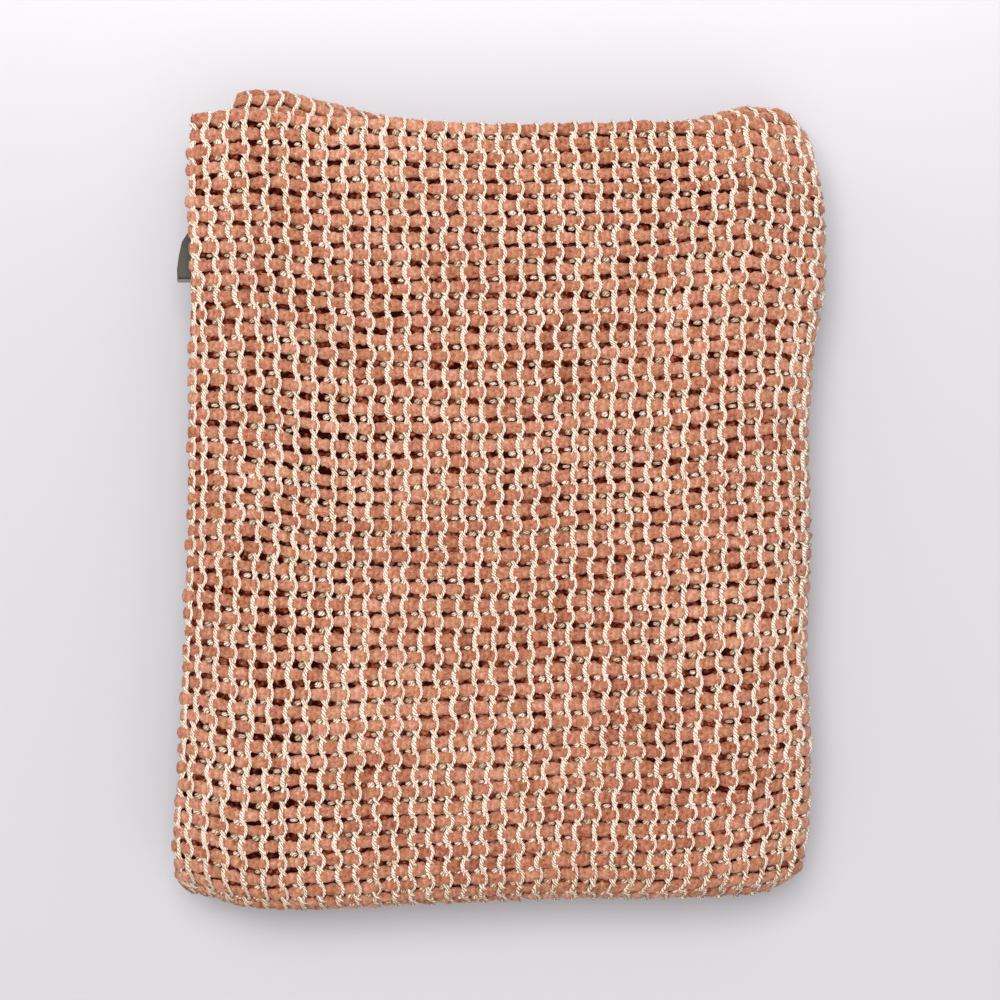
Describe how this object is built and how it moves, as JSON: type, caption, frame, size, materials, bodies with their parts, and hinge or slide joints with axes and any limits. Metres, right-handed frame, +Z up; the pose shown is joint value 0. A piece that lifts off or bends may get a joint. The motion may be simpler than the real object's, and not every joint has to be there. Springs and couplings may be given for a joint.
{
  "type": "folded chenille throw",
  "caption": "Open-weave chenille throw folded flat into a thick soft packet, with a small plain side label.",
  "frame": {"origin": "middle of the packet's box, on the surface it lies on", "axes": "+Z up, +Y towards the packet's free ends, +X towards its doubled side; the label is on the -X side"},
  "size_m": [0.352, 0.4472, 0.0749],
  "materials": {
    "chenille_weave": "soft pile, matt, with cream twisted cords",
    "label_ribbon": "plain fine ribbon, slight sheen"
  },
  "bodies": {
    "root": {"throw": "chenille_weave", "label": "label_ribbon"}
  },
  "joints": []
}
